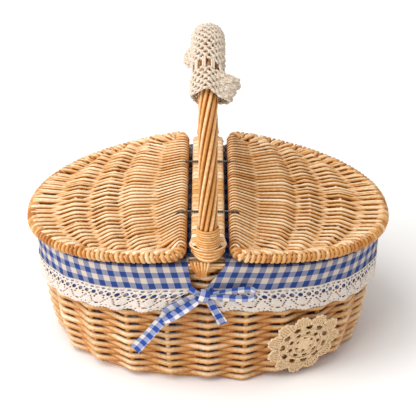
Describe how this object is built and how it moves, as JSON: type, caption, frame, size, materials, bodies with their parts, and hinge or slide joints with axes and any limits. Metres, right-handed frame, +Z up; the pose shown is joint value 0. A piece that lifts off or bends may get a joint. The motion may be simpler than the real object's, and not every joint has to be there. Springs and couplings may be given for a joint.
{
  "type": "picnic basket",
  "caption": "Oval woven willow picnic basket with two hinged half lids, a tall twisted handle, wire hinges, a checked cloth liner with lace, and crochet trim",
  "frame": {"origin": "on the floor, under the middle of the base", "axes": "+X along the basket to the viewer's right, +Y to the back, +Z up; the tied front faces -Y"},
  "size_m": [0.3998, 0.2769, 0.3595],
  "materials": {
    "willow": "peeled willow, light varnish",
    "pale_willow": "peeled willow, light varnish",
    "cane": "fine cane, light varnish",
    "wire": "dark drawn wire",
    "gingham": "checked woven cotton",
    "lace": "cotton lace",
    "crochet": "crocheted cotton"
  },
  "bodies": {
    "basket": {"base_panel": "willow", "stake_frame": "willow", "side_weaver": "pale_willow", "rim_outer_hoop": "willow", "rim_inner_hoop": "willow", "handle_core": "willow", "centre_bar": "willow", "bar_wrap": "cane", "handle_collar_front": "cane", "handle_collar_back": "cane", "handle_lashing_front": "cane", "handle_lashing_back": "cane", "rim_binding_front": "cane", "rim_binding_back": "cane", "hinge_wire_front": "wire", "hinge_wire_back": "wire", "liner_floor": "gingham", "liner_left": "gingham", "liner_right": "gingham", "cuff_left": "gingham", "cuff_right": "gingham", "lace_left": "lace", "lace_right": "lace", "tie_knot": "gingham", "tie_loop": "gingham", "tie_long_tail": "gingham", "tie_short_tail": "gingham", "crochet_handle_cover": "crochet", "crochet_doily": "crochet", "handle_strand_1": "pale_willow", "handle_strand_2": "pale_willow", "handle_strand_3": "pale_willow", "handle_strand_4": "pale_willow", "handle_strand_5": "pale_willow", "handle_strand_6": "pale_willow", "handle_strand_7": "pale_willow", "handle_strand_8": "pale_willow"},
    "lid_left": {"lid_left_hoop": "willow", "lid_left_hinge_rod": "willow", "lid_left_weaver": "pale_willow", "lid_left_rib_1": "willow", "lid_left_rib_2": "willow", "lid_left_rib_3": "willow", "lid_left_rib_4": "willow"},
    "lid_right": {"lid_right_hoop": "willow", "lid_right_hinge_rod": "willow", "lid_right_weaver": "pale_willow", "lid_right_rib_1": "willow", "lid_right_rib_2": "willow", "lid_right_rib_3": "willow", "lid_right_rib_4": "willow"}
  },
  "joints": [
    {"name": "left_lid_hinge", "type": "hinge", "parent": "basket", "child": "lid_left", "pos_m": [-0.0283, 0, 0.17185], "axis": [0, 1, 0], "range_deg": [0, 90]},
    {"name": "right_lid_hinge", "type": "hinge", "parent": "basket", "child": "lid_right", "pos_m": [0.0283, 0, 0.17185], "axis": [0, -1, 0], "range_deg": [0, 90]}
  ]
}
